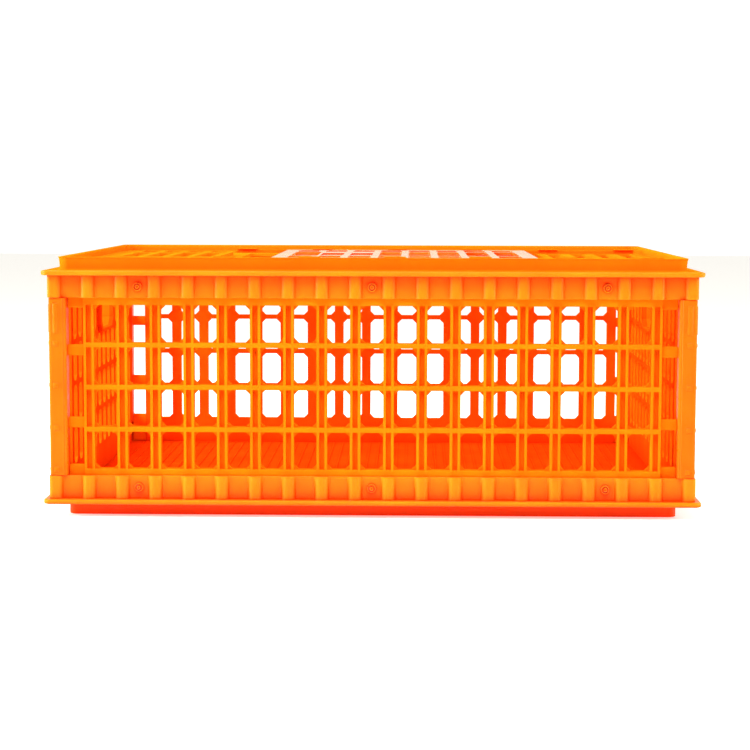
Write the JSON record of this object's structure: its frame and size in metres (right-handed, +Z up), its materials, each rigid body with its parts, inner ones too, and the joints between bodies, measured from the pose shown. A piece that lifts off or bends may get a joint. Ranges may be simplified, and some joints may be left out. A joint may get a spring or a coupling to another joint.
{
  "type": "poultry transport crate",
  "caption": "Low slatted plastic crate for live poultry: ribbed base tray and stacking top frame joined by grille panels and corner posts, with a barred sliding door in the top.",
  "frame": {"origin": "on the ground under the middle of the crate", "axes": "+X along the crate's length, the pictured front faces -Y, +Z up"},
  "size_m": [0.75, 0.55, 0.2965],
  "materials": {
    "frame_plastic": "gloss",
    "panel_plastic": "gloss",
    "post_plastic": "gloss",
    "door_plastic": "gloss",
    "pin_plastic": "gloss"
  },
  "bodies": {
    "crate": {"base_tray": "frame_plastic", "top_frame": "frame_plastic", "front_panel": "panel_plastic", "rear_panel": "panel_plastic", "left_end_panel": "panel_plastic", "right_end_panel": "panel_plastic", "left_front_post": "post_plastic", "right_front_post": "post_plastic", "left_rear_post": "post_plastic", "right_rear_post": "post_plastic", "base_front_pin_1": "pin_plastic", "base_front_pin_2": "pin_plastic", "base_front_pin_3": "pin_plastic", "base_rear_pin_1": "pin_plastic", "base_rear_pin_2": "pin_plastic", "base_rear_pin_3": "pin_plastic", "top_front_pin_1": "pin_plastic", "top_front_pin_2": "pin_plastic", "top_front_pin_3": "pin_plastic", "top_rear_pin_1": "pin_plastic", "top_rear_pin_2": "pin_plastic", "top_rear_pin_3": "pin_plastic"},
    "door": {"sliding_door": "door_plastic"}
  },
  "joints": [
    {"name": "door_slide", "type": "slide", "parent": "crate", "child": "door", "axis": [1, 0, 0], "range_m": [-0.064, 0.156]}
  ]
}
